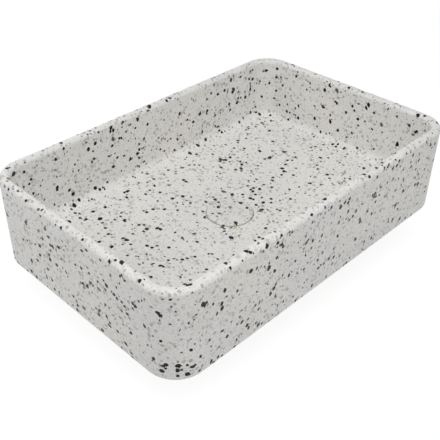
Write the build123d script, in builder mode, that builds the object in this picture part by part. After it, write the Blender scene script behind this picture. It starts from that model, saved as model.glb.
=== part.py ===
from build123d import *
import math
import os

# Countertop washbasin cast in terrazzo, with a push-open waste for a basin without an overflow.
# Millimetres. The origin is the middle of the underside, where the basin stands on its counter.
# X runs along the length, Y across the width and Z up. The waste is drawn closed.

os.makedirs("parts", exist_ok=True)

# Basin casting
basin_length = 500.0
basin_width = 325.0
basin_height = 121.0
corner_radius = 40.0
wall = 13.0
rim_round = 5.5
base_round = 4.0
cove_radius = 12.0
smallest_corner = 8.0
most_cove_share = 0.9
most_rim_share = 0.48
floor_at_waste = 19.0
floor_fall = 8.5
landing_margin = 4.5
well_gap = 0.5

# Waste body with its flange, crossbar and threaded tail
thread_diameter = 41.91
waste_bore = 36.0
flange_diameter = 58.0
flange_thickness = 3.0
flange_drop = 0.3
flange_edge_round = 0.6
mouth_diameter = 46.0
mouth_depth = 4.0
tail_spare = 22.0
tail_chamfer = 1.0
spare_thread = 12.0
relief_length = 4.0
relief_depth = 1.2
hub_diameter = 19.0
hub_height = 12.0
arm_width = 3.5
arm_height = 8.0
arm_count = 4
arm_bite = 1.0

# Gaskets, slip washer and back nut
flange_gasket_thickness = 1.5
flange_gasket_inset = 0.5
hole_clearance = 1.6
recess_clearance = 0.8
ring_clearance = 0.15
clamp_diameter = 62.0
clamp_recess_depth = 2.0
clamp_recess_clearance = 3.0
taper_height = 4.0
taper_top_thickness = 0.8
taper_flange_thickness = 5.0
slip_washer_thickness = 1.5
back_nut_flats = 52.0
back_nut_height = 8.0
nut_chamfer = 1.2

# Plug: cap, carrier, seal and their nuts
cap_diameter = 62.4
cap_thickness = 6.0
cap_proud = 3.0
cap_top_round = 2.7
cap_bottom_round = 0.5
socket_depth = 0.6
plate_diameter = 40.0
plate_thickness = 1.8
carrier_body_diameter = 33.0
carrier_body_height = 4.4
spigot_diameter = 20.0
carrier_thread_diameter = 16.0
carrier_thread_stand_out = 1.0
seal_thickness = 2.6
retainer_diameter = 32.0
retainer_thickness = 1.5
carrier_nut_flats = 22.0
carrier_nut_height = 4.0
stem_nut_flats = 10.0
stem_nut_height = 3.0
small_nut_chamfer = 0.5

# Latch cartridge: stem, rotor, spring, guide and sleeve
press_travel = 0.8
lift_travel = 9.0
stop_gap = 0.5
stem_diameter = 6.0
stem_thread_engagement = 10.7
stem_flange_diameter = 8.0
stem_flange_height = 2.0
pilot_diameter = 4.0
pilot_end = 1.4
groove_depth = 0.4
clip_diameter = 6.8
clip_thickness = 0.7
clip_opening = 2.6
rotor_core_diameter = 8.0
rotor_height = 7.5
lug_reach = 0.87
lug_width = 1.6
rib_count = 4
rib_width = 1.1
rib_depth = 0.65
guide_height = 7.0
guide_wall = 0.52
tooth_count = 8
tooth_depth = 0.6
sleeve_diameter = 14.0
sleeve_wall = 1.5
sleeve_top_wall = 4.0
sleeve_above_hub = 13.0
sleeve_top_chamfer = 0.6
collar_flats = 17.0
collar_height = 4.0
collar_washer_thickness = 1.0
collar_washer_margin = 0.3
oring_section = 1.4
oring_groove_height = 1.8
spring_wire = 0.9
spring_mean_diameter = 8.2
spring_turns = 7
spring_length = 13.8
end_plug_height = 3.0
end_plug_spigot_height = 1.5
end_plug_key_flats = 5.0
end_plug_key_depth = 2.0

# Clearances that repeat
thread_fit = 0.05
running_fit = 0.05
seat_gap = 0.05
axial_gap = 0.1

# Bowl, from the casting's outside and its wall
bowl_length = basin_length - 2 * wall
bowl_width = basin_width - 2 * wall
bowl_corner = max(corner_radius - wall, smallest_corner)
bowl_cove = min(cove_radius, most_cove_share * bowl_corner)
rim_fillet = min(rim_round, most_rim_share * wall)
floor_edge = floor_at_waste + floor_fall
foot_length = bowl_length - 2 * bowl_cove
foot_width = bowl_width - 2 * bowl_cove
foot_corner = bowl_corner - bowl_cove

# Heights of the cap, closed, and of the well that it sits in
cap_top = floor_at_waste + cap_proud
cap_bottom = cap_top - cap_thickness
well_bottom = cap_bottom - press_travel - well_gap

# Heights of the waste, from the well down
flange_top = well_bottom - flange_drop
flange_bottom = flange_top - flange_thickness
gasket_seat = flange_bottom - flange_gasket_thickness
mouth_bottom = flange_top - mouth_depth

# Heights of the plug, closed
plate_top = cap_bottom + socket_depth
plate_bottom = plate_top - plate_thickness
seal_top = plate_bottom - carrier_body_height
seal_bottom = seal_top - seal_thickness
retainer_bottom = seal_bottom - retainer_thickness
carrier_nut_bottom = retainer_bottom - carrier_nut_height
carrier_bottom = carrier_nut_bottom - carrier_thread_stand_out
stem_nut_bottom = carrier_bottom - stem_nut_height
stem_top = carrier_bottom + stem_thread_engagement

# Heights of the cartridge, closed
sleeve_top = stem_nut_bottom - press_travel - stop_gap
chamber_top = sleeve_top - sleeve_top_wall
guide_bottom = chamber_top - guide_height
stem_flange_top = chamber_top - lift_travel - stop_gap
stem_flange_bottom = stem_flange_top - stem_flange_height
rotor_top = stem_flange_bottom - axial_gap
rotor_bottom = rotor_top - rotor_height
clip_top = rotor_bottom - axial_gap
clip_bottom = clip_top - clip_thickness
stem_bottom = clip_bottom - pilot_end
spring_top = rotor_bottom - seat_gap
spring_bottom = spring_top - spring_length
end_plug_top = spring_bottom - seat_gap
sleeve_bottom = end_plug_top - end_plug_height
hub_top = sleeve_top - sleeve_above_hub
hub_bottom = hub_top - hub_height
collar_bottom = hub_top + collar_washer_thickness
tail_end = sleeve_bottom - tail_spare

# Heights of what clamps the waste from below, down from the recess under the basin
taper_flange_bottom = clamp_recess_depth - taper_flange_thickness
slip_washer_bottom = taper_flange_bottom - slip_washer_thickness
back_nut_bottom = slip_washer_bottom - back_nut_height
relief_top = back_nut_bottom - spare_thread
relief_bottom = relief_top - relief_length

# Radii that several pieces share
thread_radius = thread_diameter / 2
bore_radius = waste_bore / 2
hole_radius = thread_radius + hole_clearance
recess_radius = flange_diameter / 2 + recess_clearance
well_radius = cap_diameter / 2 + well_gap
landing_radius = well_radius + landing_margin
stem_radius = stem_diameter / 2
pilot_radius = pilot_diameter / 2
sleeve_bore_radius = sleeve_diameter / 2 - sleeve_wall
guide_outer_radius = sleeve_bore_radius - thread_fit
guide_inner_radius = guide_outer_radius - guide_wall
lug_radius = rotor_core_diameter / 2 + lug_reach
relief_radius = thread_radius - relief_depth


def ring(outer_radius, inner_radius, bottom, top):
    """Add a plain tube, washer or collar on the Z axis to the part being built."""
    with BuildSketch(Plane.XY.offset(bottom)) as section:
        Circle(outer_radius)
        Circle(inner_radius, mode=Mode.SUBTRACT)
    extrude(section.sketch, amount=top - bottom)


def turned(profile):
    """Add a turned piece: a closed outline of (radius, height) points, spun round the Z axis."""
    with BuildSketch(Plane.XZ) as section:
        with BuildLine():
            Polyline(*profile, close=True)
        make_face()
    revolve(section.sketch, axis=Axis.Z)


def hexagon_nut(flats, bore, bottom, height, bevel):
    """Add a hexagon nut whose corners are bevelled at both ends."""
    with BuildSketch(Plane.XY.offset(bottom)) as outline:
        RegularPolygon(flats / 2, 6, major_radius=False)
    extrude(outline.sketch, amount=height)
    corner = flats / 2 / math.cos(math.pi / 6)
    with BuildSketch(Plane.XZ) as envelope:
        with BuildLine():
            Polyline(
                (0, bottom),
                (corner - bevel, bottom),
                (corner, bottom + bevel / 2),
                (corner, bottom + height - bevel / 2),
                (corner - bevel, bottom + height),
                (0, bottom + height),
                close=True,
            )
        make_face()
    revolve(envelope.sketch, axis=Axis.Z, mode=Mode.INTERSECT)
    with BuildSketch(Plane.XY.offset(bottom)) as hole:
        Circle(bore)
    extrude(hole.sketch, amount=height, mode=Mode.SUBTRACT)


# Space of the bowl: straight walls, a cove, and a floor that falls to the level ring at the waste
with BuildPart() as bowl_space:
    with BuildSketch(Plane.XY.offset(floor_edge)):
        RectangleRounded(bowl_length, bowl_width, bowl_corner)
    extrude(amount=basin_height - floor_edge)
    fillet(bowl_space.faces().sort_by(Axis.Z)[0].edges(), bowl_cove)

# Each contour of the floor is as far in as share says and as deep as depth says
floor_contours = [(0.0, 0.0), (0.12, 0.06), (0.5, 0.5), (0.88, 0.94), (1.0, 1.0)]
contour_tightness = 0.998
with BuildPart() as floor_space:
    for share, depth in floor_contours:
        contour_length = foot_length + share * (2 * landing_radius - foot_length)
        contour_width = foot_width + share * (2 * landing_radius - foot_width)
        first_share = 2 * foot_corner / foot_width
        rounding = first_share + share * (contour_tightness - first_share)
        with BuildSketch(Plane.XY.offset(floor_edge - depth * floor_fall)):
            RectangleRounded(contour_length, contour_width, rounding * contour_width / 2)
    loft()

# Basin: the casting less the bowl, with the waste's stepped hole and a recess round it underneath
with BuildPart() as basin:
    with BuildSketch():
        RectangleRounded(basin_length, basin_width, corner_radius)
    extrude(amount=basin_height)
    fillet(basin.faces().sort_by(Axis.Z)[0].edges(), base_round)
    add(bowl_space.part, mode=Mode.SUBTRACT)
    add(floor_space.part, mode=Mode.SUBTRACT)
    fillet(basin.faces().sort_by(Axis.Z)[-1].edges(), rim_fillet)
    with Locations((0, 0, floor_at_waste)):
        CounterBoreHole(
            recess_radius,
            well_radius,
            floor_at_waste - well_bottom,
            floor_at_waste - gasket_seat,
        )
    with Locations((0, 0, gasket_seat)):
        Hole(hole_radius, gasket_seat)
    with BuildSketch():
        Circle(clamp_diameter / 2 + clamp_recess_clearance)
    extrude(amount=clamp_recess_depth, mode=Mode.SUBTRACT)
basin.part.label = "basin"
export_step(basin.part, "parts/basin.step")

# Drain cap: terrazzo disc with a shallow socket underneath for the carrier's plate
with BuildPart() as drain_cap:
    with BuildSketch(Plane.XY.offset(cap_bottom)):
        Circle(cap_diameter / 2)
    extrude(amount=cap_thickness)
    fillet(drain_cap.edges().sort_by(Axis.Z)[-1], cap_top_round)
    fillet(drain_cap.edges().sort_by(Axis.Z)[0], cap_bottom_round)
    with BuildSketch(Plane.XY.offset(cap_bottom)):
        Circle(plate_diameter / 2 + ring_clearance)
    extrude(amount=socket_depth, mode=Mode.SUBTRACT)
drain_cap.part.label = "drain_cap"
export_step(drain_cap.part, "parts/drain_cap.step")

# Cap carrier: plate, body, spigot for the seal, thread for the nut, blind hole for the stem
with BuildPart() as cap_carrier:
    turned(
        [
            (0, carrier_bottom),
            (carrier_thread_diameter / 2, carrier_bottom),
            (carrier_thread_diameter / 2, seal_bottom + seat_gap),
            (spigot_diameter / 2, seal_bottom + seat_gap),
            (spigot_diameter / 2, seal_top),
            (carrier_body_diameter / 2, seal_top),
            (carrier_body_diameter / 2, plate_bottom),
            (plate_diameter / 2, plate_bottom),
            (plate_diameter / 2, plate_top),
            (0, plate_top),
        ]
    )
    with BuildSketch(Plane.XY.offset(carrier_bottom)):
        Circle(stem_radius + thread_fit)
    extrude(amount=stem_thread_engagement + seat_gap, mode=Mode.SUBTRACT)
cap_carrier.part.label = "cap_carrier"
export_step(cap_carrier.part, "parts/cap_carrier.step")

# Plug seal: rubber ring that slides in the waste's bore
with BuildPart() as plug_seal:
    ring(bore_radius - running_fit, spigot_diameter / 2 + thread_fit, seal_bottom, seal_top)
plug_seal.part.label = "plug_seal"
export_step(plug_seal.part, "parts/plug_seal.step")

# Seal retainer
with BuildPart() as seal_retainer:
    ring(
        retainer_diameter / 2,
        carrier_thread_diameter / 2 + ring_clearance,
        retainer_bottom,
        seal_bottom,
    )
seal_retainer.part.label = "seal_retainer"
export_step(seal_retainer.part, "parts/seal_retainer.step")

# Carrier nut
with BuildPart() as carrier_nut:
    hexagon_nut(
        carrier_nut_flats,
        carrier_thread_diameter / 2 + thread_fit,
        carrier_nut_bottom,
        carrier_nut_height,
        small_nut_chamfer,
    )
carrier_nut.part.label = "carrier_nut"
export_step(carrier_nut.part, "parts/carrier_nut.step")

# Stem lock nut
with BuildPart() as stem_lock_nut:
    hexagon_nut(
        stem_nut_flats,
        stem_radius + thread_fit,
        stem_nut_bottom,
        stem_nut_height,
        small_nut_chamfer,
    )
stem_lock_nut.part.label = "stem_lock_nut"
export_step(stem_lock_nut.part, "parts/stem_lock_nut.step")

# Cartridge stem: rod, driving flange, and a pilot with a groove for the clip
with BuildPart() as cartridge_stem:
    turned(
        [
            (0, stem_bottom),
            (pilot_radius, stem_bottom),
            (pilot_radius, clip_bottom - seat_gap),
            (pilot_radius - groove_depth, clip_bottom - seat_gap),
            (pilot_radius - groove_depth, clip_top + seat_gap),
            (pilot_radius, clip_top + seat_gap),
            (pilot_radius, stem_flange_bottom),
            (stem_flange_diameter / 2, stem_flange_bottom),
            (stem_flange_diameter / 2, stem_flange_top),
            (stem_radius, stem_flange_top),
            (stem_radius, stem_top),
            (0, stem_top),
        ]
    )
cartridge_stem.part.label = "cartridge_stem"
export_step(cartridge_stem.part, "parts/cartridge_stem.step")

# Stem clip: open ring in the pilot's groove
with BuildPart() as stem_clip:
    ring(clip_diameter / 2, pilot_radius - groove_depth + seat_gap, clip_bottom, clip_top)
    with BuildSketch(Plane.XY.offset(clip_bottom)):
        with Locations((clip_diameter / 2, 0)):
            Rectangle(clip_diameter, clip_opening)
    extrude(amount=clip_thickness, mode=Mode.SUBTRACT)
stem_clip.part.label = "stem_clip"
export_step(stem_clip.part, "parts/stem_clip.step")

# Cartridge rotor: core with index teeth on top and lugs that run between the guide's ribs
with BuildPart() as cartridge_rotor:
    with BuildSketch(Plane.XY.offset(rotor_bottom)):
        Circle(rotor_core_diameter / 2)
        with PolarLocations(0, rib_count):
            with Locations((lug_radius / 2, 0)):
                Rectangle(lug_radius, lug_width)
        Circle(pilot_radius + running_fit, mode=Mode.SUBTRACT)
    extrude(amount=rotor_height)
    with BuildSketch(Plane.XZ) as notch:
        with BuildLine():
            Polyline(
                (-tooth_depth / 2, rotor_top),
                (0, rotor_top - tooth_depth),
                (tooth_depth, rotor_top),
                close=True,
            )
        make_face()
    with PolarLocations(0, tooth_count):
        extrude(notch.sketch, amount=-rotor_core_diameter, mode=Mode.SUBTRACT)
cartridge_rotor.part.label = "cartridge_rotor"
export_step(cartridge_rotor.part, "parts/cartridge_rotor.step")

# Cartridge sleeve: tube with a closed top, an O-ring groove round the stem and a hexagon collar
groove_middle = sleeve_top - sleeve_top_wall / 2
groove_radius = stem_radius + running_fit + oring_section + seat_gap
with BuildPart() as cartridge_sleeve:
    turned(
        [
            (stem_radius + running_fit, chamber_top),
            (sleeve_bore_radius, chamber_top),
            (sleeve_bore_radius, sleeve_bottom),
            (sleeve_diameter / 2, sleeve_bottom),
            (sleeve_diameter / 2, sleeve_top - sleeve_top_chamfer),
            (sleeve_diameter / 2 - sleeve_top_chamfer, sleeve_top),
            (stem_radius + running_fit, sleeve_top),
            (stem_radius + running_fit, groove_middle + oring_groove_height / 2),
            (groove_radius, groove_middle + oring_groove_height / 2),
            (groove_radius, groove_middle - oring_groove_height / 2),
            (stem_radius + running_fit, groove_middle - oring_groove_height / 2),
        ]
    )
    with BuildSketch(Plane.XY.offset(collar_bottom)):
        RegularPolygon(collar_flats / 2, 6, major_radius=False)
        Circle(sleeve_diameter / 2 - sleeve_wall / 2, mode=Mode.SUBTRACT)
    extrude(amount=collar_height)
cartridge_sleeve.part.label = "cartridge_sleeve"
export_step(cartridge_sleeve.part, "parts/cartridge_sleeve.step")

# Stem O-ring
with BuildPart() as stem_oring:
    with BuildSketch(Plane.XZ):
        with Locations((stem_radius + running_fit + oring_section / 2, groove_middle)):
            Circle(oring_section / 2)
    revolve(axis=Axis.Z)
stem_oring.part.label = "stem_oring"
export_step(stem_oring.part, "parts/stem_oring.step")

# Cartridge guide: ring pressed in the sleeve, with ribs that the rotor's lugs index between
with BuildPart() as cartridge_guide:
    ring(guide_outer_radius, guide_inner_radius, guide_bottom, chamber_top)
    rib_inner_radius = guide_inner_radius - rib_depth
    with BuildSketch(Plane.XY.offset(guide_bottom)):
        with PolarLocations((rib_inner_radius + guide_outer_radius - guide_wall / 2) / 2, rib_count):
            Rectangle(guide_outer_radius - guide_wall / 2 - rib_inner_radius, rib_width)
    extrude(amount=guide_height)
cartridge_guide.part.label = "cartridge_guide"
export_step(cartridge_guide.part, "parts/cartridge_guide.step")

# Cartridge spring: one helix of round wire, each half turn drawn as two tangent arcs
coil_radius = spring_mean_diameter / 2
coil_bottom = spring_bottom + spring_wire / 2
coil_rise = spring_length - spring_wire


def coil_point(turn):
    """Point of the coil's centre line after so many turns."""
    angle = 2 * math.pi * turn
    height = coil_bottom + coil_rise * turn / spring_turns
    return Vector(coil_radius * math.cos(angle), coil_radius * math.sin(angle), height)


def coil_direction(turn):
    """Unit tangent of the coil's centre line after so many turns."""
    angle = 2 * math.pi * turn
    rise = coil_rise / spring_turns / (2 * math.pi)
    return Vector(-coil_radius * math.sin(angle), coil_radius * math.cos(angle), rise).normalized()


def arc_pair(start_turn, end_turn):
    """Add two arcs that meet the coil's ends and tangents over one stretch."""
    start = coil_point(start_turn)
    end = coil_point(end_turn)
    leave = coil_direction(start_turn)
    arrive = coil_direction(end_turn)
    chord = end - start
    both = leave + arrive
    spread = 2 * (1 - leave.dot(arrive))
    along = chord.dot(both)
    reach = (-along + math.sqrt(along**2 + spread * chord.dot(chord))) / spread
    first_corner = start + leave * reach
    second_corner = end - arrive * reach
    middle = (first_corner + second_corner) * 0.5
    TangentArc(start, middle, tangent=leave)
    TangentArc(middle, end, tangent=second_corner - first_corner)


with BuildPart() as cartridge_spring:
    with BuildLine() as coil:
        for half_turn in range(2 * spring_turns):
            arc_pair(half_turn / 2, (half_turn + 1) / 2)
    with BuildSketch(Plane(origin=coil_point(0), z_dir=coil_direction(0))):
        Circle(spring_wire / 2)
    sweep(path=coil.wires()[0])
cartridge_spring.part.label = "cartridge_spring"
export_step(cartridge_spring.part, "parts/cartridge_spring.step")
coil_gap = coil_rise / spring_turns - spring_wire
wire_volume = math.pi * (spring_wire / 2) ** 2 * coil.wires()[0].length
print(f"spring: gap between turns {coil_gap:.2f} mm")
print(f"spring: volume {cartridge_spring.part.volume:.2f}, section by length {wire_volume:.2f}")

# End plug: closes the sleeve, centres the spring, and has a socket for a key underneath
with BuildPart() as cartridge_end_plug:
    with BuildSketch(Plane.XY.offset(sleeve_bottom)):
        Circle(sleeve_bore_radius - thread_fit)
    extrude(amount=end_plug_height)
    with BuildSketch(Plane.XY.offset(end_plug_top)):
        Circle(coil_radius - spring_wire / 2 - ring_clearance)
    extrude(amount=end_plug_spigot_height)
    with BuildSketch(Plane.XY.offset(sleeve_bottom)):
        RegularPolygon(end_plug_key_flats / 2, 6, major_radius=False)
    extrude(amount=end_plug_key_depth, mode=Mode.SUBTRACT)
cartridge_end_plug.part.label = "cartridge_end_plug"
export_step(cartridge_end_plug.part, "parts/cartridge_end_plug.step")

# Collar washer
with BuildPart() as collar_washer:
    ring(
        collar_flats / 2 + collar_washer_margin,
        sleeve_diameter / 2 + ring_clearance,
        hub_top,
        collar_bottom,
    )
collar_washer.part.label = "collar_washer"
export_step(collar_washer.part, "parts/collar_washer.step")

# Waste body: flange with a tapered mouth, threaded tail with a relief groove, and a hub held by arms
with BuildPart() as waste_body:
    turned(
        [
            (bore_radius, tail_end),
            (thread_radius - tail_chamfer, tail_end),
            (thread_radius, tail_end + tail_chamfer),
            (thread_radius, relief_bottom),
            (relief_radius, relief_bottom + relief_depth),
            (relief_radius, relief_top - relief_depth),
            (thread_radius, relief_top),
            (thread_radius, flange_bottom),
            (flange_diameter / 2, flange_bottom),
            (flange_diameter / 2, flange_top),
            (mouth_diameter / 2, flange_top),
            (bore_radius, mouth_bottom),
        ]
    )
    flange_rims = waste_body.edges().group_by(Axis.Z)[-1]
    fillet(flange_rims.sort_by(SortBy.RADIUS)[-1], flange_edge_round)
    with BuildSketch(Plane.XY.offset((hub_top + hub_bottom - arm_height) / 2)):
        with PolarLocations((bore_radius + arm_bite) / 2, arm_count):
            Rectangle(bore_radius + arm_bite, arm_width)
    extrude(amount=arm_height)
    with BuildSketch(Plane.XY.offset(hub_bottom)):
        Circle(hub_diameter / 2)
    extrude(amount=hub_height)
    with BuildSketch(Plane.XY.offset(hub_bottom)):
        Circle(sleeve_diameter / 2 + thread_fit)
    extrude(amount=hub_height, mode=Mode.SUBTRACT)
waste_body.part.label = "waste_body"
export_step(waste_body.part, "parts/waste_body.step")

# Flange gasket
with BuildPart() as flange_gasket:
    ring(
        flange_diameter / 2 - flange_gasket_inset,
        thread_radius + ring_clearance,
        gasket_seat,
        flange_bottom,
    )
flange_gasket.part.label = "flange_gasket"
export_step(flange_gasket.part, "parts/flange_gasket.step")

# Tapered gasket: its nose enters the basin's hole from below
taper_inner_radius = thread_radius + ring_clearance
with BuildPart() as tapered_gasket:
    turned(
        [
            (taper_inner_radius, taper_flange_bottom),
            (clamp_diameter / 2, taper_flange_bottom),
            (clamp_diameter / 2, clamp_recess_depth),
            (hole_radius - thread_fit, clamp_recess_depth),
            (taper_inner_radius + taper_top_thickness, clamp_recess_depth + taper_height),
            (taper_inner_radius, clamp_recess_depth + taper_height),
        ]
    )
tapered_gasket.part.label = "tapered_gasket"
export_step(tapered_gasket.part, "parts/tapered_gasket.step")

# Friction washer
with BuildPart() as friction_washer:
    ring(
        clamp_diameter / 2,
        thread_radius + ring_clearance,
        slip_washer_bottom,
        taper_flange_bottom,
    )
friction_washer.part.label = "friction_washer"
export_step(friction_washer.part, "parts/friction_washer.step")

# Back nut
with BuildPart() as back_nut:
    hexagon_nut(
        back_nut_flats,
        thread_radius + thread_fit,
        back_nut_bottom,
        back_nut_height,
        nut_chamfer,
    )
back_nut.part.label = "back_nut"
export_step(back_nut.part, "parts/back_nut.step")
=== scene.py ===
import math

import bmesh
import bpy
from mathutils import Matrix, Vector, noise


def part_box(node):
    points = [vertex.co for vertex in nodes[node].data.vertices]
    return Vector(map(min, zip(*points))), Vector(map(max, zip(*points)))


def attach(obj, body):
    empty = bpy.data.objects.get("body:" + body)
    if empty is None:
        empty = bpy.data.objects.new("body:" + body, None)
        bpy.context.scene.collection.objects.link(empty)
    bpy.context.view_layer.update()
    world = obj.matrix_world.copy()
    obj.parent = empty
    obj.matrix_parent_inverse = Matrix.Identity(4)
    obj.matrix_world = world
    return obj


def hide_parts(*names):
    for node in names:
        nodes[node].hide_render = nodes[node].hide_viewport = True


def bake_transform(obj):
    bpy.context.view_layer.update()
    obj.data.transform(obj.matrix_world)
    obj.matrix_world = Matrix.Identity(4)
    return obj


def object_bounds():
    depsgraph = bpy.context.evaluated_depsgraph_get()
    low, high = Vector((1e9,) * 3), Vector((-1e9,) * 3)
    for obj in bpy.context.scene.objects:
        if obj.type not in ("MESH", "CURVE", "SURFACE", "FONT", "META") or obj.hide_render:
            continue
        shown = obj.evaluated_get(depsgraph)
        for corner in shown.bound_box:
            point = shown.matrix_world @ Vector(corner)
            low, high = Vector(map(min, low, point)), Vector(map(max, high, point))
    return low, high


# Countertop basin in ground terrazzo, with its push-open waste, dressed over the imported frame.
# Sizes are in millimetres in the dictionaries, and mm() turns them to Blender's metres.
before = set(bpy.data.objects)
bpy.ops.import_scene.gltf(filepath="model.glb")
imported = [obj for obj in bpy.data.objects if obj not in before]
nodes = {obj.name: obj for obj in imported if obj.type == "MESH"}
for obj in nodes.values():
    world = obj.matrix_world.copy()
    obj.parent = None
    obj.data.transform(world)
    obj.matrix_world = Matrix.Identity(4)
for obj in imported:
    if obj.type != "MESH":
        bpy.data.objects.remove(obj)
cadLow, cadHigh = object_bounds()


def mm(value):
    return value / 1000


def hexToLinear(text):
    channels = [int(text[i:i + 2], 16) / 255 for i in (1, 3, 5)]
    return [c / 12.92 if c <= 0.04045 else ((c + 0.055) / 1.055) ** 2.4 for c in channels] + [1.0]


def addNode(tree, kind, settings=None, links=None):
    node = tree.nodes.new(kind)
    for name, value in (settings or {}).items():
        setattr(node, name, value)
    for name, value in (links or {}).items():
        if isinstance(value, bpy.types.NodeSocket):
            tree.links.new(value, node.inputs[name])
        else:
            node.inputs[name].default_value = value
    return node


def newMaterial(name):
    material = bpy.data.materials.new(name)
    material.use_nodes = True
    material.node_tree.nodes.clear()
    return material, material.node_tree


# Ground terrazzo: crushed basalt and marble in white cement, cast, ground flat, honed and sealed.
# It gives the eye a matt, faintly warm white, cut through by hard-edged dark shards of every size
# over a dust of pale grey ones.
terrazzo = {
    "cement": "#EFEEEC",
    "cementShade": "#E5E4E2",
    "cementWarm": "#EEECE7",
    "fines": "#B6B5B3",
    "roughness": 0.47,
    "chipRoughness": 0.45,
    "gloss": 0.24,  # the sealer is thin and matt
    "cloud": 60.0,  # the slow change of tone from one trowelful to the next
    "sand": 0.9,
    "shadeRange": (0.7, 1.3),  # cloud and sand together, from the plain cement to its shade
    "warmth": 110.0,  # patches where the cement took a little yellow
    "warmRange": (0.48, 0.7),
    "fine": 1.9,  # stone dust too small to tell apart, which greys the cement in flecks
    "fineRange": (0.5, 0.78),
    "fineMost": 0.8,
    "warp": 1.5,  # wanders the chips' edges, as a crusher leaves them
    "warpReach": 0.5,
    "clump": 26.0,  # where the chips crowd together and where they thin out
    "clumpRange": (0.3, 0.7),
    "clumpPull": 0.35,
    "crowding": 1.05,
    "chipEdge": 0.1,  # width over which a chip's edge goes from cement to stone
    "cornerCut": 0.67,  # lower cuts less off the corners of each chip
    "flatness": 1.15,
    "pitSpacing": 6.0,  # air bubbles that grinding opened
    "pitSize": 0.4,
    "pitDepth": 0.2,
    "pitStrength": 0.5,
    "chipRise": 0.03,  # stone stands this much above the cement, which is softer
    "chipRiseStrength": 0.25,
    "sandRise": 0.3,
}
terrazzoCap = {**terrazzo, "cement": "#E9E7E5", "cementShade": "#E0DEDB", "crowding": 1.15}
# darker, rougher faces left as cast: a real tone on the basin's underside, and painted shade on the well
# under the drain cap, where the gap round the cap is darkened
terrazzoAsCastAndGapShade = {
    **terrazzo,
    "cement": "#C9C8C3",
    "cementShade": "#B9B7B1",
    "cementWarm": "#C4BFB2",
    "roughness": 0.78,
    "chipRoughness": 0.7,
    "pitSpacing": 4.2,
    "pitSize": 0.7,
    "pitDepth": 0.5,
}
# Each grade of stone is shifted by this much from the one before, so that no two line up.
gradeShift = (31.0, 17.0, 23.0)
# One grade of crushed stone per entry. Spacing is the mean distance between its grains in the mix,
# share how many of those places hold one, and least and most its half widths. A shade holds from its
# own number up to the next one's, on a scale of 0 to 1.
stoneGrades = [
    {
        "spacing": 6.0,
        "share": 0.74,
        "least": 1.2,
        "most": 2.9,
        "stretch": 1.35,
        "shades": [(0.0, "#C6C4C0"), (0.4, "#D2D0CC"), (0.65, "#B6B4AF"), (0.96, "#C9C0AA")],
    },
    {
        "spacing": 6.6,
        "share": 0.42,
        "least": 1.0,
        "most": 2.3,
        "stretch": 1.35,
        "shades": [
            (0.0, "#4A4A4A"), (0.3, "#B4B2AD"), (0.52, "#101012"), (0.7, "#BCBAB5"), (0.96, "#8F836A"),
        ],
    },
    {
        "spacing": 9.4,
        "share": 0.55,
        "least": 1.7,
        "most": 3.3,
        "stretch": 1.3,
        "shades": [
            (0.0, "#060608"), (0.74, "#101012"), (0.88, "#4C4C4C"), (0.94, "#7B7974"), (0.975, "#6B5440"),
        ],
    },
    {
        "spacing": 14.5,
        "share": 0.5,
        "least": 2.4,
        "most": 3.9,
        "stretch": 1.4,
        "shades": [(0.0, "#060608"), (0.85, "#161618"), (0.95, "#5F5246")],
    },
]


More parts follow.
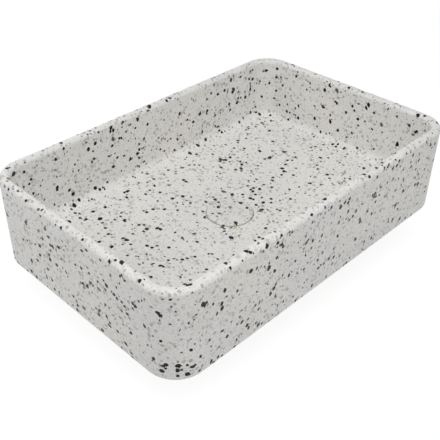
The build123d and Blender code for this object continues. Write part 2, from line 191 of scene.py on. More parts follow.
def makeTerrazzo(name, spec):
    material, tree = newMaterial(name)
    place = addNode(tree, "ShaderNodeTexCoord").outputs["Object"]
    wander = addNode(tree, "ShaderNodeTexNoise", links={
        "Vector": place, "Scale": 1 / mm(spec["warp"]), "Detail": 2.0})
    centred = addNode(tree, "ShaderNodeVectorMath", {"operation": "SUBTRACT"}, {
        0: wander.outputs["Color"], 1: (0.5, 0.5, 0.5)})
    push = addNode(tree, "ShaderNodeVectorMath", {"operation": "SCALE"}, {
        0: centred.outputs["Vector"], "Scale": mm(2 * spec["warpReach"])})
    bent = addNode(tree, "ShaderNodeVectorMath", {"operation": "ADD"}, {
        0: place, 1: push.outputs["Vector"]}).outputs["Vector"]

    # cement: slow clouds of tone, and the grain of the sand
    cloud = addNode(tree, "ShaderNodeTexNoise", links={
        "Vector": place, "Scale": 1 / mm(spec["cloud"]), "Detail": 3.0}).outputs["Fac"]
    sand = addNode(tree, "ShaderNodeTexNoise", links={
        "Vector": place, "Scale": 1 / mm(spec["sand"]), "Detail": 2.0}).outputs["Fac"]
    mottle = addNode(tree, "ShaderNodeMath", {"operation": "ADD"}, {0: cloud, 1: sand})
    shadeShare = addNode(tree, "ShaderNodeMapRange", links={
        "Value": mottle.outputs["Value"],
        "From Min": spec["shadeRange"][0], "From Max": spec["shadeRange"][1]})
    grey = addNode(tree, "ShaderNodeMix", {"data_type": "RGBA"}, {
        0: shadeShare.outputs["Result"], 6: hexToLinear(spec["cement"]),
        7: hexToLinear(spec["cementShade"])})
    patches = addNode(tree, "ShaderNodeTexNoise", links={
        "Vector": place, "Scale": 1 / mm(spec["warmth"]), "Detail": 1.0})
    warmShare = addNode(tree, "ShaderNodeMapRange", links={
        "Value": patches.outputs["Fac"],
        "From Min": spec["warmRange"][0], "From Max": spec["warmRange"][1]})
    warm = addNode(tree, "ShaderNodeMix", {"data_type": "RGBA"}, {
        0: warmShare.outputs["Result"], 6: grey.outputs[2], 7: hexToLinear(spec["cementWarm"])})
    fines = addNode(tree, "ShaderNodeTexNoise", links={
        "Vector": bent, "Scale": 1 / mm(spec["fine"]), "Detail": 2.0})
    fineShare = addNode(tree, "ShaderNodeMapRange", links={
        "Value": fines.outputs["Fac"],
        "From Min": spec["fineRange"][0], "From Max": spec["fineRange"][1],
        "To Max": spec["fineMost"]})
    colour = addNode(tree, "ShaderNodeMix", {"data_type": "RGBA"}, {
        0: fineShare.outputs["Result"], 6: warm.outputs[2], 7: hexToLinear(spec["fines"])}).outputs[2]

    crowd = addNode(tree, "ShaderNodeTexNoise", links={
        "Vector": place, "Scale": 1 / mm(spec["clump"]), "Detail": 1.0})
    lean = addNode(tree, "ShaderNodeMapRange", links={
        "Value": crowd.outputs["Fac"],
        "From Min": spec["clumpRange"][0], "From Max": spec["clumpRange"][1],
        "To Min": spec["crowding"] * (1 - spec["clumpPull"]),
        "To Max": spec["crowding"] * (1 + spec["clumpPull"])}).outputs["Result"]

    anyStone = None
    for order, grade in enumerate(stoneGrades):
        spacing = grade["spacing"]
        # the mix in units of this grade's spacing
        moved = addNode(tree, "ShaderNodeVectorMath", {"operation": "ADD"}, {
            0: bent, 1: [mm(part) * order for part in gradeShift]})
        mix = addNode(tree, "ShaderNodeVectorMath", {"operation": "SCALE"}, {
            0: moved.outputs["Vector"], "Scale": 1 / mm(spacing)}).outputs["Vector"]
        cell = addNode(tree, "ShaderNodeTexVoronoi", {"feature": "F1"}, {"Vector": mix, "Scale": 1.0})
        middle = cell.outputs["Position"]

        # each grain is turned its own way and is longer than it is wide
        away = addNode(tree, "ShaderNodeVectorMath", {"operation": "SUBTRACT"}, {0: mix, 1: middle})
        turn = addNode(tree, "ShaderNodeVectorMath", {"operation": "SCALE"}, {
            0: cell.outputs["Color"], "Scale": 2 * math.pi})
        turned = addNode(tree, "ShaderNodeVectorRotate", {"rotation_type": "EULER_XYZ"}, {
            "Vector": away.outputs["Vector"], "Rotation": turn.outputs["Vector"]})
        slimmed = addNode(tree, "ShaderNodeVectorMath", {"operation": "MULTIPLY"}, {
            0: turned.outputs["Vector"], 1: (1 / grade["stretch"], 1.0, spec["flatness"])})
        folded = addNode(tree, "ShaderNodeVectorMath", {"operation": "ABSOLUTE"}, {
            0: slimmed.outputs["Vector"]}).outputs["Vector"]

        # a block with its corners broken off: the larger of its flats and its corner cuts
        sides = addNode(tree, "ShaderNodeSeparateXYZ", links={0: folded})
        wide = addNode(tree, "ShaderNodeMath", {"operation": "MAXIMUM"}, {
            0: sides.outputs["X"], 1: sides.outputs["Y"]})
        flats = addNode(tree, "ShaderNodeMath", {"operation": "MAXIMUM"}, {
            0: wide.outputs["Value"], 1: sides.outputs["Z"]})
        corners = addNode(tree, "ShaderNodeVectorMath", {"operation": "DOT_PRODUCT"}, {
            0: folded, 1: [spec["cornerCut"]] * 3})
        reach = addNode(tree, "ShaderNodeMath", {"operation": "MAXIMUM"}, {
            0: flats.outputs["Value"], 1: corners.outputs["Value"]})

        lots = addNode(tree, "ShaderNodeTexWhiteNoise", {"noise_dimensions": "3D"}, {"Vector": middle})
        lot = addNode(tree, "ShaderNodeSeparateColor", links={0: lots.outputs["Color"]})
        places = addNode(tree, "ShaderNodeMath", {"operation": "MULTIPLY"}, {0: lean, 1: grade["share"]})
        held = addNode(tree, "ShaderNodeMath", {"operation": "LESS_THAN"}, {
            0: lots.outputs["Value"], 1: places.outputs["Value"]})
        width = addNode(tree, "ShaderNodeMapRange", links={
            "Value": lot.outputs["Red"], "To Min": grade["least"] / spacing,
            "To Max": grade["most"] / spacing})
        inset = addNode(tree, "ShaderNodeMath", {"operation": "SUBTRACT"}, {
            0: width.outputs["Result"], 1: reach.outputs["Value"]})
        inside = addNode(tree, "ShaderNodeMapRange", links={
            "Value": inset.outputs["Value"], "From Max": spec["chipEdge"] / spacing})
        mask = addNode(tree, "ShaderNodeMath", {"operation": "MULTIPLY"}, {
            0: inside.outputs["Result"], 1: held.outputs["Value"]}).outputs["Value"]

        shade = addNode(tree, "ShaderNodeValToRGB", links={"Fac": lot.outputs["Green"]})
        ramp = shade.color_ramp
        ramp.interpolation = "CONSTANT"
        ramp.elements.remove(ramp.elements[1])
        for start, tone in grade["shades"]:
            stop = ramp.elements.new(start) if start > 0 else ramp.elements[0]
            stop.color = hexToLinear(tone)
        colour = addNode(tree, "ShaderNodeMix", {"data_type": "RGBA"}, {
            0: mask, 6: colour, 7: shade.outputs["Color"]}).outputs[2]
        if anyStone is None:
            anyStone = mask
        else:
            anyStone = addNode(tree, "ShaderNodeMath", {"operation": "MAXIMUM"}, {
                0: anyStone, 1: mask}).outputs["Value"]

    # relief: opened air bubbles, and stone standing a hair above the softer cement
    pit = addNode(tree, "ShaderNodeTexVoronoi", {"feature": "F1"}, {
        "Vector": bent, "Scale": 1 / mm(spec["pitSpacing"])})
    shallow = addNode(tree, "ShaderNodeMapRange", links={
        "Value": pit.outputs["Distance"], "From Max": spec["pitSize"] / spec["pitSpacing"]})
    pitted = addNode(tree, "ShaderNodeBump", links={
        "Height": shallow.outputs["Result"], "Strength": spec["pitStrength"],
        "Distance": mm(spec["pitDepth"])})
    stoneRise = addNode(tree, "ShaderNodeMath", {"operation": "MULTIPLY_ADD"}, {
        0: sand, 1: spec["sandRise"], 2: anyStone})
    relief = addNode(tree, "ShaderNodeBump", links={
        "Height": stoneRise.outputs["Value"], "Strength": spec["chipRiseStrength"],
        "Distance": mm(spec["chipRise"]), "Normal": pitted.outputs["Normal"]})
    rough = addNode(tree, "ShaderNodeMapRange", links={
        "Value": anyStone, "To Min": spec["roughness"], "To Max": spec["chipRoughness"]})
    shader = addNode(tree, "ShaderNodeBsdfPrincipled", links={
        "Base Color": colour, "Roughness": rough.outputs["Result"],
        "Normal": relief.outputs["Normal"], "IOR": 1.5, "Specular IOR Level": spec["gloss"]})
    addNode(tree, "ShaderNodeOutputMaterial", links={"Surface": shader.outputs["BSDF"]})
    return material


# Turned and plated metal, moulded plastic and rubber share one build: a tone that drifts, a roughness
# that drifts with it, tool marks or mould grain as bump, and edges broken as a deburring tool leaves them.
finishes = {
    # bright chromium over turned brass: mirror-like, faintly blue, dulled here and there by lime
    "platedChrome": {
        "tones": ("#D3D6D8", "#C2C5C8"), "drift": 9.0, "metallic": 1.0, "roughness": (0.07, 0.2),
        "marks": 0.35, "markDepth": 0.004, "edge": 0.25, "nodes": ["cap_carrier", "cartridge_sleeve"],
    },
    # free-cutting brass left bare: yellow, ringed by the lathe, browned where hands touched it
    "turnedBrass": {
        "tones": ("#C9A45C", "#9C7A40"), "drift": 7.0, "metallic": 1.0, "roughness": (0.24, 0.46),
        "marks": 0.3, "markDepth": 0.012, "edge": 0.3,
        "nodes": ["back_nut", "carrier_nut", "stem_lock_nut", "cartridge_end_plug"],
    },
    # drawn stainless steel: neutral grey with a fine satin from the die
    "drawnStainless": {
        "tones": ("#B4B4B2", "#9C9C9B"), "drift": 5.0, "metallic": 1.0, "roughness": (0.2, 0.36),
        "marks": 0.2, "markDepth": 0.008, "edge": 0.15,
        "nodes": ["seal_retainer", "cartridge_stem", "stem_clip"],
    },
    # moulded acetal: milky white, waxy, with a soft gleam
    "mouldedAcetal": {
        "tones": ("#E8E6DE", "#DBD8CD"), "drift": 6.0, "metallic": 0.0, "roughness": (0.3, 0.42),
        "marks": 0.8, "markDepth": 0.01, "edge": 0.15, "ior": 1.48, "glow": 0.12,
        "nodes": ["cartridge_guide"],
    },
    # natural nylon washer: cloudy, a little yellow, light goes some way in
    "cloudyNylon": {
        "tones": ("#DDD9C8", "#CFCAB4"), "drift": 8.0, "metallic": 0.0, "roughness": (0.32, 0.5),
        "marks": 0.7, "markDepth": 0.015, "edge": 0.2, "ior": 1.53, "glow": 0.25,
        "nodes": ["friction_washer", "collar_washer"],
    },
    # moulded nitrile rubber: near-black, matt, dusted grey by talc from the mould
    "talcedRubber": {
        "tones": ("#1E1E20", "#38383A"), "drift": 5.0, "metallic": 0.0, "roughness": (0.55, 0.8),
        "marks": 0.6, "markDepth": 0.03, "edge": 0.3, "ior": 1.52,
        "nodes": ["plug_seal", "stem_oring", "flange_gasket", "tapered_gasket"],
    },
}
# what the finishes have in common
finishBuild = {
    "driftRange": (0.35, 0.68),
    "alongTheTurn": 0.03,  # how little the marks change on their way round
    "markStrength": 0.6,
    "glowReach": (2.0, 1.6, 1.1),  # how far red, green and blue light go into plastic
}


def makeFinish(name, spec):
    material, tree = newMaterial(name)
    place = addNode(tree, "ShaderNodeTexCoord").outputs["Object"]
    drift = addNode(tree, "ShaderNodeTexNoise", links={
        "Vector": place, "Scale": 1 / mm(spec["drift"]), "Detail": 4.0})
    spread = addNode(tree, "ShaderNodeMapRange", links={
        "Value": drift.outputs["Fac"],
        "From Min": finishBuild["driftRange"][0],
        "From Max": finishBuild["driftRange"][1]}).outputs["Result"]
    colour = addNode(tree, "ShaderNodeMix", {"data_type": "RGBA"}, {
        0: spread, 6: hexToLinear(spec["tones"][0]), 7: hexToLinear(spec["tones"][1])})
    rough = addNode(tree, "ShaderNodeMapRange", links={
        "Value": spread, "To Min": spec["roughness"][0], "To Max": spec["roughness"][1]})

    # marks run round the waste's axis, as its pieces were turned or moulded: they change with the
    # distance from the axis and the height, and hardly along the turn
    parts = addNode(tree, "ShaderNodeSeparateXYZ", links={0: place})
    flat = addNode(tree, "ShaderNodeCombineXYZ", links={"X": parts.outputs["X"], "Y": parts.outputs["Y"]})
    radius = addNode(tree, "ShaderNodeVectorMath", {"operation": "LENGTH"}, {0: flat.outputs["Vector"]})
    wound = addNode(tree, "ShaderNodeCombineXYZ", links={
        "X": radius.outputs["Value"], "Z": parts.outputs["Z"]})
    little = finishBuild["alongTheTurn"]
    along = addNode(tree, "ShaderNodeVectorMath", {"operation": "MULTIPLY_ADD"}, {
        0: place, 1: (little, little, 0.0), 2: wound.outputs["Vector"]})
    marks = addNode(tree, "ShaderNodeTexNoise", links={
        "Vector": along.outputs["Vector"], "Scale": 1 / mm(spec["marks"]), "Detail": 3.0})
    edge = addNode(tree, "ShaderNodeBevel", {"samples": 4}, {"Radius": mm(spec["edge"])})
    bump = addNode(tree, "ShaderNodeBump", links={
        "Height": marks.outputs["Fac"], "Strength": finishBuild["markStrength"],
        "Distance": mm(spec["markDepth"]), "Normal": edge.outputs["Normal"]})
    shader = addNode(tree, "ShaderNodeBsdfPrincipled", links={
        "Base Color": colour.outputs[2], "Roughness": rough.outputs["Result"],
        "Normal": bump.outputs["Normal"], "Metallic": spec["metallic"]})
    if "ior" in spec:
        shader.inputs["IOR"].default_value = spec["ior"]
    if "glow" in spec:
        shader.inputs["Subsurface Weight"].default_value = spec["glow"]
        shader.inputs["Subsurface Radius"].default_value = [mm(part) for part in finishBuild["glowReach"]]
        shader.inputs["Subsurface Scale"].default_value = 1.0
    addNode(tree, "ShaderNodeOutputMaterial", links={"Surface": shader.outputs["BSDF"]})
    return material


materials = {
    "groundTerrazzo": makeTerrazzo("groundTerrazzo", terrazzo),
    "groundTerrazzoCap": makeTerrazzo("groundTerrazzoCap", terrazzoCap),
    "asCastAndGapShade": makeTerrazzo("asCastAndGapShade", terrazzoAsCastAndGapShade),
}
for name, spec in finishes.items():
    materials[name] = makeFinish(name, spec)
    for node in spec["nodes"]:
        nodes[node].data.materials.clear()
        nodes[node].data.materials.append(materials[name])
print(f"materials: {len(materials)} made")


# Shapes: a ring is a list of points in millimetres, and skin() joins rings that have equally many.
# It goes round from the last ring to the first, or caps the two if they are ends.
def skin(rings, capped=False):
    count = len(rings[0])
    vertices = [Vector([mm(part) for part in point]) for ring in rings for point in ring]
    faces = []
    pairs = len(rings) - 1 if capped else len(rings)
    for i in range(pairs):
        low = i * count
        high = (i + 1) % len(rings) * count
        for k in range(count):
            after = (k + 1) % count
            faces.append((low + k, low + after, high + after, high + k))
    if capped:
        faces.append(tuple(reversed(range(count))))
        faces.append(tuple(range((len(rings) - 1) * count, len(rings) * count)))
    return vertices, faces


def circle(radius, height, steps):
    angles = [2 * math.pi * k / steps for k in range(steps)]
    return [(radius * math.cos(a), radius * math.sin(a), height) for a in angles]


# quarter of a round from one direction to another, both in degrees, about a centre (across, up)
def quarterRound(centre, radius, start, end, steps):
    angles = [math.radians(start + (end - start) * k / steps) for k in range(steps + 1)]
    return [(centre[0] + radius * math.cos(a), centre[1] + radius * math.sin(a)) for a in angles]


# body is None for a piece that is left unattached, and sharp is the angle of its hard edges
def addPiece(name, vertices, faces, body, stands, surfaces, faceSurface=None, sharp=38):
    mesh = bpy.data.meshes.new(name)
    mesh.from_pydata(vertices, [], faces)
    form = bmesh.new()
    form.from_mesh(mesh)
    bmesh.ops.recalc_face_normals(form, faces=form.faces)
    form.to_mesh(mesh)
    form.free()
    for surface in surfaces:
        mesh.materials.append(materials[surface])
    mesh.polygons.foreach_set("use_smooth", [True] * len(mesh.polygons))
    if faceSurface:
        mesh.polygons.foreach_set("material_index", faceSurface)
    mesh.set_sharp_from_angle(angle=math.radians(sharp))
    mesh.update()
    piece = bpy.data.objects.new(name, mesh)
    bpy.context.scene.collection.objects.link(piece)
    even = piece.modifiers.new("evenShading", "WEIGHTED_NORMAL")
    even.keep_sharp = True
    if body:
        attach(piece, body)
    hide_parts(stands)
    return piece


# Basin casting
basinShape = {
    "corner": 40.0,
    "wall": 13.0,
    "rimRound": 5.5,
    "baseRound": 4.0,
    "cove": 12.0,
    "floorAtWaste": 19.0,
    "floorFall": 8.5,
    "floorSway": 0.0877,  # how far the floor's fall departs from a straight slope
    "landing": 36.2,
    "well": 31.85,
    "wellBottom": 14.7,
    "recess": 29.8,
    "seat": 9.9,
    "hole": 22.555,
    "clampRecess": 34.0,
    "clampDepth": 2.0,
    "arris": 0.5,  # edges round the waste, eased by hand with a stone
    "sideStep": 8.0,
    "cornerSteps": 14,
    "baseSteps": 6,
    "wallSteps": 10,
    "rimSteps": 9,
    "coveSteps": 9,
    "floorSteps": 22,
    "arrisSteps": 4,
    "swell": 0.12,  # the hand-ground surface wanders by this much, over this distance
    "swellLength": 95.0,
    "swellSeed": 5,  # without a seed the noise starts from the clock, and each run differs
}


def basinCourse(shape, halfLength, halfWidth):
    # one turn round the basin: for each point the centre that its corner is struck from, and its facing
    reachX = halfLength - shape["corner"]
    reachY = halfWidth - shape["corner"]
    ends = [(reachX, reachY), (-reachX, reachY), (-reachX, -reachY), (reachX, -reachY)]
    course = []
    for quarter in range(4):
        here = ends[quarter]
        there = ends[(quarter + 1) % 4]
        for k in range(shape["cornerSteps"]):
            facing = math.radians(90 * (quarter + k / shape["cornerSteps"]))
            course.append((here[0], here[1], facing))
        gap = math.dist(here, there)
        sideSteps = round(gap / shape["sideStep"])
        facing = math.radians(90 * (quarter + 1))
        for k in range(sideSteps):
            share = k / sideSteps
            x = here[0] + share * (there[0] - here[0])
            y = here[1] + share * (there[1] - here[1])
            course.append((x, y, facing))
    return course


def makeBasin(shape):
    low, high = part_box("basin")
    height = high[2] * 1000
    course = basinCourse(shape, high[0] * 1000, high[1] * 1000)
    outer = shape["corner"]
    inner = outer - shape["wall"]
    foot = inner - shape["cove"]
    floorEdge = shape["floorAtWaste"] + shape["floorFall"]

    def band(offset, level):
        return [(x + offset * math.cos(f), y + offset * math.sin(f), level) for x, y, f in course]

    bearings = [math.atan2(y, x) for x, y, level in band(foot, 0)]

    def ringAt(radius, level):
        return [(radius * math.cos(b), radius * math.sin(b), level) for b in bearings]

    # underside, from the waste's hole out to the edge
    rings = [
        ringAt(shape["hole"], shape["clampDepth"]),
        ringAt(shape["clampRecess"], shape["clampDepth"]),
        ringAt(shape["clampRecess"], 0),
        band(outer - shape["baseRound"], 0),
    ]
    undersideRings = len(rings) - 1

    # outside, rim and inside wall
    base = shape["baseRound"]
    rim = shape["rimRound"]
    section = quarterRound((outer - base, base), base, -90, 0, shape["baseSteps"])[1:]
    wallSteps = shape["wallSteps"]
    top = height - rim
    section += [(outer, base + (top - base) * k / wallSteps) for k in range(1, wallSteps)]
    section += quarterRound((outer - rim, top), rim, 0, 90, shape["rimSteps"])
    section += quarterRound((inner + rim, top), rim, 90, 180, shape["rimSteps"])
    coveTop = floorEdge + shape["cove"]
    section += [(inner, top + (coveTop - top) * k / wallSteps) for k in range(1, wallSteps)]
    section += quarterRound((foot, coveTop), shape["cove"], 0, -90, shape["coveSteps"])
    rings += [band(offset, level) for offset, level in section]
    # the foot and the ring above it stay true, so that the basin stands flat
    firstFree = undersideRings + 2

    # floor, falling to the level landing round the waste
    edgeRing = rings[-1]
    landingRing = ringAt(shape["landing"], shape["floorAtWaste"])
    for k in range(1, shape["floorSteps"]):
        share = k / shape["floorSteps"]
        depth = share - shape["floorSway"] * math.sin(2 * math.pi * share)
        level = floorEdge - depth * shape["floorFall"]
        rings.append([
            (a[0] + share * (b[0] - a[0]), a[1] + share * (b[1] - a[1]), level)
            for a, b in zip(edgeRing, landingRing)
        ])
    lastFree = len(rings)
    rings.append(landingRing)

    # well for the cap, recess for the flange, and the hole
    well = shape["well"]
    landing = shape["floorAtWaste"]
    arris = shape["arris"]
    eased = quarterRound((well + arris, landing - arris), arris, 90, 180, shape["arrisSteps"])
    rings += [ringAt(radius, level) for radius, level in eased]
    rings.append(ringAt(well, shape["wellBottom"]))
    rings.append(ringAt(shape["recess"], shape["wellBottom"]))
    rings.append(ringAt(shape["recess"], shape["seat"]))
    rings.append(ringAt(shape["hole"], shape["seat"]))

    # the ground faces wander a little, from there to the landing
    vertices, faces = skin(rings)
    count = len(course)
    noise.seed_set(shape["swellSeed"])
    for i in range(firstFree * count, lastFree * count):
        point = vertices[i]
        sway = noise.noise_vector(point / mm(shape["swellLength"])) * mm(shape["swell"])
        moved = point + sway
        vertices[i] = Vector([min(max(moved[axis], low[axis]), high[axis]) for axis in range(3)])
    # the underside is left as it came from the mould, in a darker tone; the well under the cap and the hole
    # get the same darker tone as painted shade in the gap round the cap
    wellWall = lastFree + shape["arrisSteps"] + 1
    castAndGapShadeRings = [i < undersideRings or i >= wellWall for i in range(len(rings))]
    surface = [int(castAndGapShadeRings[i // count]) for i in range(len(faces))]
    addPiece("basinCasting", vertices, faces, "basin_body", "basin",
             ["groundTerrazzo", "asCastAndGapShade"], surface)


makeBasin(basinShape)
print("basin casting made")


# Drain cap: a disc sliced from the same mix, its top edge rounded over
capShape = {
    "topRound": 2.7,
    "bottomRound": 0.5,
    "socket": 20.15,
    "socketDepth": 0.6,
    "steps": 128,
    "topSteps": 8,
    "bottomSteps": 4,
}


def makeCap(shape):
    low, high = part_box("drain_cap")
    radius = high[0] * 1000
    top = high[2] * 1000
    bottom = low[2] * 1000
    crown = shape["topRound"]
    ease = shape["bottomRound"]
    section = [(radius / 3, top), (radius * 2 / 3, top)]
    section += quarterRound((radius - crown, top - crown), crown, 90, 0, shape["topSteps"])
    groundRows = len(section) - 1
    section += quarterRound((radius - ease, bottom + ease), ease, 0, -90, shape["bottomSteps"])
    section += [(shape["socket"], bottom), (shape["socket"], bottom + shape["socketDepth"])]
    vertices, faces = skin([circle(r, z, shape["steps"]) for r, z in section], capped=True)
    # the disc is ground on its face and its rounding, and left as cast from there down
    ground = groundRows * shape["steps"]
    surface = [0] * ground + [1] * (len(faces) - ground)
    # the last two faces close the middle, first on top and then in the socket
    surface[-2] = 0
    addPiece("capDisc", vertices, faces, "plug", "drain_cap",
             ["groundTerrazzoCap", "asCastAndGapShade"], surface)


makeCap(capShape)
print("drain cap made")


# Waste body: turned and threaded brass, chromed, with the hub that holds the cartridge
wasteShape = {
    "thread": 20.955,
    "pitch": 2.309,
    "threadDepth": 1.479,
    "flankSlope": 1.3,  # how steeply the thread's flanks run between its rounded crest and root
    "flankStart": 0.15,
    "rowsPerPitch": 8,
    "run": 2.5,  # length over which the thread fades out under the flange
    "reliefTop": -24.5,
    "reliefBottom": -28.5,
    "reliefDepth": 1.2,
    "tailChamfer": 1.0,
    "bore": 18.0,
    "mouth": 23.0,
    "mouthDepth": 4.0,
    "flangeThickness": 3.0,
    "flangeRound": 0.6,
    "hub": 9.5,
    "hubBore": 7.05,
    "hubTop": -16.0,
    "hubBottom": -28.0,
    "armWidth": 3.5,
    "armTop": -18.0,
    "armBottom": -26.0,
    "armCount": 4,
    "edge": 0.5,
    "edgeSteps": 3,
    "flangeSteps": 4,
    "steps": 96,
}


def threadRow(shape, level, top, bottom):
    row = []
    relief = min(level - shape["reliefBottom"], shape["reliefTop"] - level)
    groove = max(0.0, min(relief, shape["reliefDepth"]))
    fade = min(1.0, (top - level) / shape["run"]) * (1 - groove / shape["reliefDepth"])
    chamfer = max(0.0, bottom + shape["tailChamfer"] - level)
    for k in range(shape["steps"]):
        turn = k / shape["steps"]
        phase = (level / shape["pitch"] - turn) % 1
        flank = min(1.0, max(0.0, abs(2 * phase - 1) * shape["flankSlope"] - shape["flankStart"]))
        dip = shape["threadDepth"] * fade * (0.5 - 0.5 * math.cos(math.pi * flank))
        radius = shape["thread"] - max(dip, groove, chamfer)
        angle = 2 * math.pi * turn
        row.append((radius * math.cos(angle), radius * math.sin(angle), level))
    return row


def addArm(shape, bearing):
    halfWidth = shape["armWidth"] / 2
    halfHeight = (shape["armTop"] - shape["armBottom"]) / 2
    middle = (shape["armTop"] + shape["armBottom"]) / 2
    edge = shape["edge"]
    section = []
    for corner, (y, z) in enumerate([(1, 1), (-1, 1), (-1, -1), (1, -1)]):
        centre = (y * (halfWidth - edge), middle + z * (halfHeight - edge))
        section += quarterRound(centre, edge, 90 * corner, 90 * corner + 90, shape["edgeSteps"])
    turn = Matrix.Rotation(bearing, 3, "Z")
    inside = (shape["hub"] + shape["hubBore"]) / 2
    outside = shape["bore"] + edge
    rings = [[turn @ Vector((x, y, z)) for y, z in section] for x in (inside, outside)]
    return skin(rings, capped=True)


def makeWaste(shape):
    low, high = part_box("waste_body")
    flangeRadius = high[0] * 1000
    flangeTop = high[2] * 1000
    tailEnd = low[2] * 1000
    flangeBottom = flangeTop - shape["flangeThickness"]
    steps = shape["steps"]
    ease = shape["flangeRound"]

    section = [(shape["bore"], tailEnd), (shape["bore"], flangeTop - shape["mouthDepth"])]
    section += [(shape["mouth"], flangeTop)]
    section += quarterRound((flangeRadius - ease, flangeTop - ease), ease, 90, 0, shape["flangeSteps"])
    section += [(flangeRadius, flangeBottom), (shape["thread"], flangeBottom)]
    rings = [circle(r, z, steps) for r, z in section]
    rowGap = shape["pitch"] / shape["rowsPerPitch"]
    rowCount = int((flangeBottom - tailEnd) / rowGap)
    for k in range(1, rowCount + 1):
        level = flangeBottom + (tailEnd - flangeBottom) * k / rowCount
        rings.append(threadRow(shape, level, flangeBottom, tailEnd))
    pieces = [skin(rings)]

    edge = shape["edge"]
    hubOut = shape["hub"] - edge
    hubIn = shape["hubBore"] + edge
    hubHigh = shape["hubTop"] - edge
    hubLow = shape["hubBottom"] + edge
    centres = [(hubOut, hubHigh), (hubIn, hubHigh), (hubIn, hubLow), (hubOut, hubLow)]
    hubSection = []
    for corner, centre in enumerate(centres):
        hubSection += quarterRound(centre, edge, 90 * corner, 90 * corner + 90, shape["edgeSteps"])
    pieces.append(skin([circle(r, z, steps) for r, z in hubSection]))
    for k in range(shape["armCount"]):
        pieces.append(addArm(shape, 2 * math.pi * k / shape["armCount"]))

    vertices = []
    faces = []
    for points, corners in pieces:
        start = len(vertices)
        vertices += points
        faces += [tuple(start + index for index in face) for face in corners]
    addPiece("wasteTail", vertices, faces, "basin_body", "waste_body", ["platedChrome"])


makeWaste(wasteShape)
print("waste body made")


# Cartridge spring: round wire, wound on a mandrel. It stands on the end plug.
springShape = {
    "wire": 0.9,
    "turns": 7,
    "stepsPerTurn": 32,
    "wireSteps": 12,
}


def makeSpring(shape):
    low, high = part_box("cartridge_spring")
    bottom = low[2] * 1000
    top = high[2] * 1000
    wire = shape["wire"] / 2
    coil = high[0] * 1000 - wire
    rise = (top - bottom - 2 * wire) / shape["turns"]
    rings = []
    for k in range(shape["turns"] * shape["stepsPerTurn"] + 1):
        turns = k / shape["stepsPerTurn"]
        across = Vector((math.cos(2 * math.pi * turns), math.sin(2 * math.pi * turns), 0))
        along = Vector((-across[1] * 2 * math.pi * coil, across[0] * 2 * math.pi * coil, rise)).normalized()
        up = across.cross(along)
        middle = coil * across + Vector((0, 0, bottom + wire + rise * turns))
        section = circle(wire, 0, shape["wireSteps"])
        rings.append([middle + x * across + y * up for x, y, level in section])
    vertices, faces = skin(rings, capped=True)
    spring = addPiece("springCoil", vertices, faces, None, "cartridge_spring",
                      ["drawnStainless"])
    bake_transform(spring)


makeSpring(springShape)
print("cartridge spring made")


# Cartridge rotor: moulded core with index teeth on top, and lugs with broken corners
rotorShape = {
    "core": 4.0,
    "bore": 2.1,
    "lugReach": 4.86,
    "lugWidth": 1.6,
    "lugRound": 0.25,
    "lugCount": 4,
    "lugSteps": 4,
    "roundSteps": 3,
    "arcSteps": 24,
    "toothCount": 8,
    "toothDepth": 0.6,
    "toothBack": 0.3,
    "toothFront": 0.6,
    "edge": 0.1,
}


def toothDip(shape, x, y):
    # depth of the notches at a point on the rotor's top: each is a V with one steep side
    deepest = 0.0
    for k in range(shape["toothCount"]):
        facing = 2 * math.pi * k / shape["toothCount"]
        if x * math.cos(facing) + y * math.sin(facing) <= 0:
            continue
        off = x * math.sin(facing) - y * math.cos(facing)
        run = shape["toothFront"] if off > 0 else shape["toothBack"]
        deepest = max(deepest, shape["toothDepth"] * (1 - abs(off) / run))
    return deepest


def makeRotor(shape):
    low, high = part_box("cartridge_rotor")
    bottom = low[2] * 1000
    top = high[2] * 1000
    half = shape["lugWidth"] / 2
    ease = shape["lugRound"]
    root = math.sqrt(shape["core"] ** 2 - half ** 2)
    face = half - ease
    reach = shape["lugReach"]
    lugSteps = shape["lugSteps"]
    lug = [(root, -half)]
    lug += quarterRound((reach - ease, -face), ease, -90, 0, shape["roundSteps"])
    lug += [(reach, face * k / lugSteps) for k in range(1 - lugSteps, lugSteps)]
    lug += quarterRound((reach - ease, face), ease, 0, 90, shape["roundSteps"])
    lug.append((root, half))
    lugSpan = math.asin(half / shape["core"])
    gap = 2 * math.pi / shape["lugCount"] - 2 * lugSpan
    for k in range(1, shape["arcSteps"]):
        facing = lugSpan + gap * k / shape["arcSteps"]
        lug.append((shape["core"] * math.cos(facing), shape["core"] * math.sin(facing)))
    outline = []
    for k in range(shape["lugCount"]):
        turn = Matrix.Rotation(2 * math.pi * k / shape["lugCount"], 2)
        outline += [turn @ Vector(point) for point in lug]

    def reduced(radius):
        return [point * min(1, radius / point.length) for point in outline]

    def atTop(points):
        return [(x, y, top - toothDip(shape, x, y)) for x, y in points]

    edge = shape["edge"]
    inset = [point * (1 - edge / point.length) for point in outline]
    rings = [
        [(x, y, bottom) for x, y in reduced(shape["bore"])],
        [(x, y, bottom) for x, y in inset],
        [(x, y, bottom + edge) for x, y in outline],
        [(x, y, z - edge) for x, y, z in atTop(outline)],
        atTop(inset),
        atTop(reduced(shape["core"] - 3 * edge)),
        atTop(reduced((shape["core"] + shape["bore"]) / 2)),
        atTop(reduced(shape["bore"])),
    ]
    vertices, faces = skin(rings)
    addPiece("rotorMoulding", vertices, faces, "rotor", "cartridge_rotor",
             ["mouldedAcetal"], sharp=30)


makeRotor(rotorShape)
print("cartridge rotor made")


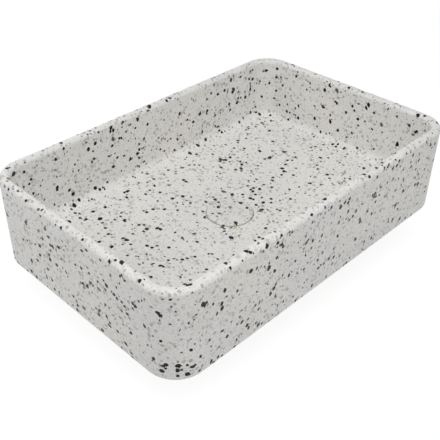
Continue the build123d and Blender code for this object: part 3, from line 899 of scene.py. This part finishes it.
# Studio: a white sweep in a light tent, with seven soft lamps
studio = {
    "floorHalf": 6000.0,
    "floorDrop": 0.5,  # below the tail's end
    "floorTone": "#E3E3E3",
    "floorGlow": 0.89,
    "floorDim": 0.2,  # share of the lamps' light that still draws the object's shadow
    "fadeStart": 450.0,
    "fadeEnd": 1300.0,
    "skyStrength": 0.21,
    "aim": (0.0, 0.0, 60.0),
    # power in watts, size across, and place
    "lamps": {
        "front": (12.7, 900.0, (-700.0, -700.0, 1600.0)),
        "top": (5.1, 900.0, (0.0, 0.0, 1800.0)),
        "near": (0.6, 600.0, (-450.0, -500.0, 900.0)),
        "right": (1.8, 900.0, (1000.0, -600.0, 1500.0)),
        "longSide": (0.8, 400.0, (60.0, -900.0, 380.0)),
        "shortSide": (1.8, 500.0, (-900.0, 500.0, 500.0)),
        "back": (3.2, 600.0, (400.0, 1400.0, 380.0)),
    },
}
# fitted to the photograph's outline of the basin
camera = {
    "place": (-565.96, -527.46, 566.86),
    "aim": (-73.65, -20.30, 60.0),
    "roll": -0.27,
    "lens": 58.354,
    "sensor": 36.0,
    "shift": (0.0441, -0.008),
    "clipStart": 10.0,
}
white = (1.0, 1.0, 1.0, 1.0)


def aimAt(holder, place, aim):
    holder.location = [mm(part) for part in place]
    look = (Vector([mm(part) for part in aim]) - holder.location).to_track_quat("-Z", "Y")
    holder.rotation_euler = look.to_euler()


# 1 for the rays that see the sweep or the sky itself: from the camera, or past a mirror or glass
def seenDirectly(tree):
    path = addNode(tree, "ShaderNodeLightPath")
    mirrored = addNode(tree, "ShaderNodeMath", {"operation": "MAXIMUM"}, {
        0: path.outputs["Is Camera Ray"], 1: path.outputs["Is Glossy Ray"]})
    seen = addNode(tree, "ShaderNodeMath", {"operation": "MAXIMUM"}, {
        0: mirrored.outputs["Value"], 1: path.outputs["Is Transmission Ray"]})
    return seen.outputs["Value"]


def makeFloor():
    half = mm(studio["floorHalf"])
    level = cadLow[2] - mm(studio["floorDrop"])
    corners = [(-half, -half, level), (half, -half, level), (half, half, level), (-half, half, level)]
    mesh = bpy.data.meshes.new("sweep")
    mesh.from_pydata(corners, [], [(0, 1, 2, 3)])
    sweep = bpy.data.objects.new("sweep", mesh)
    bpy.context.scene.collection.objects.link(sweep)
    # painted board: it lights the object as pale grey, and shows white with the object's soft shadow
    material, tree = newMaterial("paintedBoard")
    paint = addNode(tree, "ShaderNodeBsdfDiffuse", links={"Color": hexToLinear(studio["floorTone"])})
    dim = addNode(tree, "ShaderNodeBsdfDiffuse", links={"Color": [studio["floorDim"]] * 3 + [1.0]})
    glow = addNode(tree, "ShaderNodeEmission", links={"Color": white, "Strength": studio["floorGlow"]})
    near = addNode(tree, "ShaderNodeAddShader", links={0: dim.outputs["BSDF"], 1: glow.outputs["Emission"]})
    # it fades to pure white round the object, so that no horizon shows
    side = addNode(tree, "ShaderNodeNewGeometry")
    away = addNode(tree, "ShaderNodeVectorMath", {"operation": "LENGTH"}, {0: side.outputs["Position"]})
    fade = addNode(tree, "ShaderNodeMapRange", links={
        "Value": away.outputs["Value"],
        "From Min": mm(studio["fadeStart"]), "From Max": mm(studio["fadeEnd"])})
    pure = addNode(tree, "ShaderNodeEmission", links={"Color": white, "Strength": 1.0})
    shown = addNode(tree, "ShaderNodeMixShader", links={
        0: fade.outputs["Result"], 1: near.outputs["Shader"], 2: pure.outputs["Emission"]})
    board = addNode(tree, "ShaderNodeMixShader", links={
        0: seenDirectly(tree), 1: paint.outputs["BSDF"], 2: shown.outputs["Shader"]})
    # from underneath the board is open, so that the object's underside can be looked at
    through = addNode(tree, "ShaderNodeBsdfTransparent")
    underneath = addNode(tree, "ShaderNodeMixShader", links={
        0: side.outputs["Backfacing"], 1: board.outputs["Shader"], 2: through.outputs["BSDF"]})
    addNode(tree, "ShaderNodeOutputMaterial", links={"Surface": underneath.outputs["Shader"]})
    mesh.materials.append(material)


def lightStudio():
    world = bpy.data.worlds.new("studioSky")
    bpy.context.scene.world = world
    world.use_nodes = True
    tree = world.node_tree
    tree.nodes.clear()
    fill = addNode(tree, "ShaderNodeBackground", links={"Color": white, "Strength": studio["skyStrength"]})
    shown = addNode(tree, "ShaderNodeBackground", links={"Color": white, "Strength": 1.0})
    sky = addNode(tree, "ShaderNodeMixShader", links={
        0: seenDirectly(tree), 1: fill.outputs["Background"], 2: shown.outputs["Background"]})
    addNode(tree, "ShaderNodeOutputWorld", links={"Surface": sky.outputs["Shader"]})
    for name, (power, size, place) in studio["lamps"].items():
        lamp = bpy.data.lights.new(name + "Lamp", "AREA")
        lamp.energy = power
        lamp.size = mm(size)
        holder = bpy.data.objects.new(name + "Lamp", lamp)
        bpy.context.scene.collection.objects.link(holder)
        aimAt(holder, place, studio["aim"])


def placeCamera():
    lens = bpy.data.cameras.new("photoCamera")
    lens.sensor_width = camera["sensor"]
    lens.lens = camera["lens"]
    lens.shift_x, lens.shift_y = camera["shift"]
    lens.clip_start = mm(camera["clipStart"])
    holder = bpy.data.objects.new("photoCamera", lens)
    bpy.context.scene.collection.objects.link(holder)
    aimAt(holder, camera["place"], camera["aim"])
    roll = Matrix.Rotation(math.radians(camera["roll"]), 3, "Z")
    holder.rotation_euler = (holder.rotation_euler.to_matrix() @ roll).to_euler()
    bpy.context.scene.camera = holder


makeFloor()
lightStudio()
placeCamera()
bpy.context.scene.view_settings.view_transform = "Standard"
print("studio and camera placed")
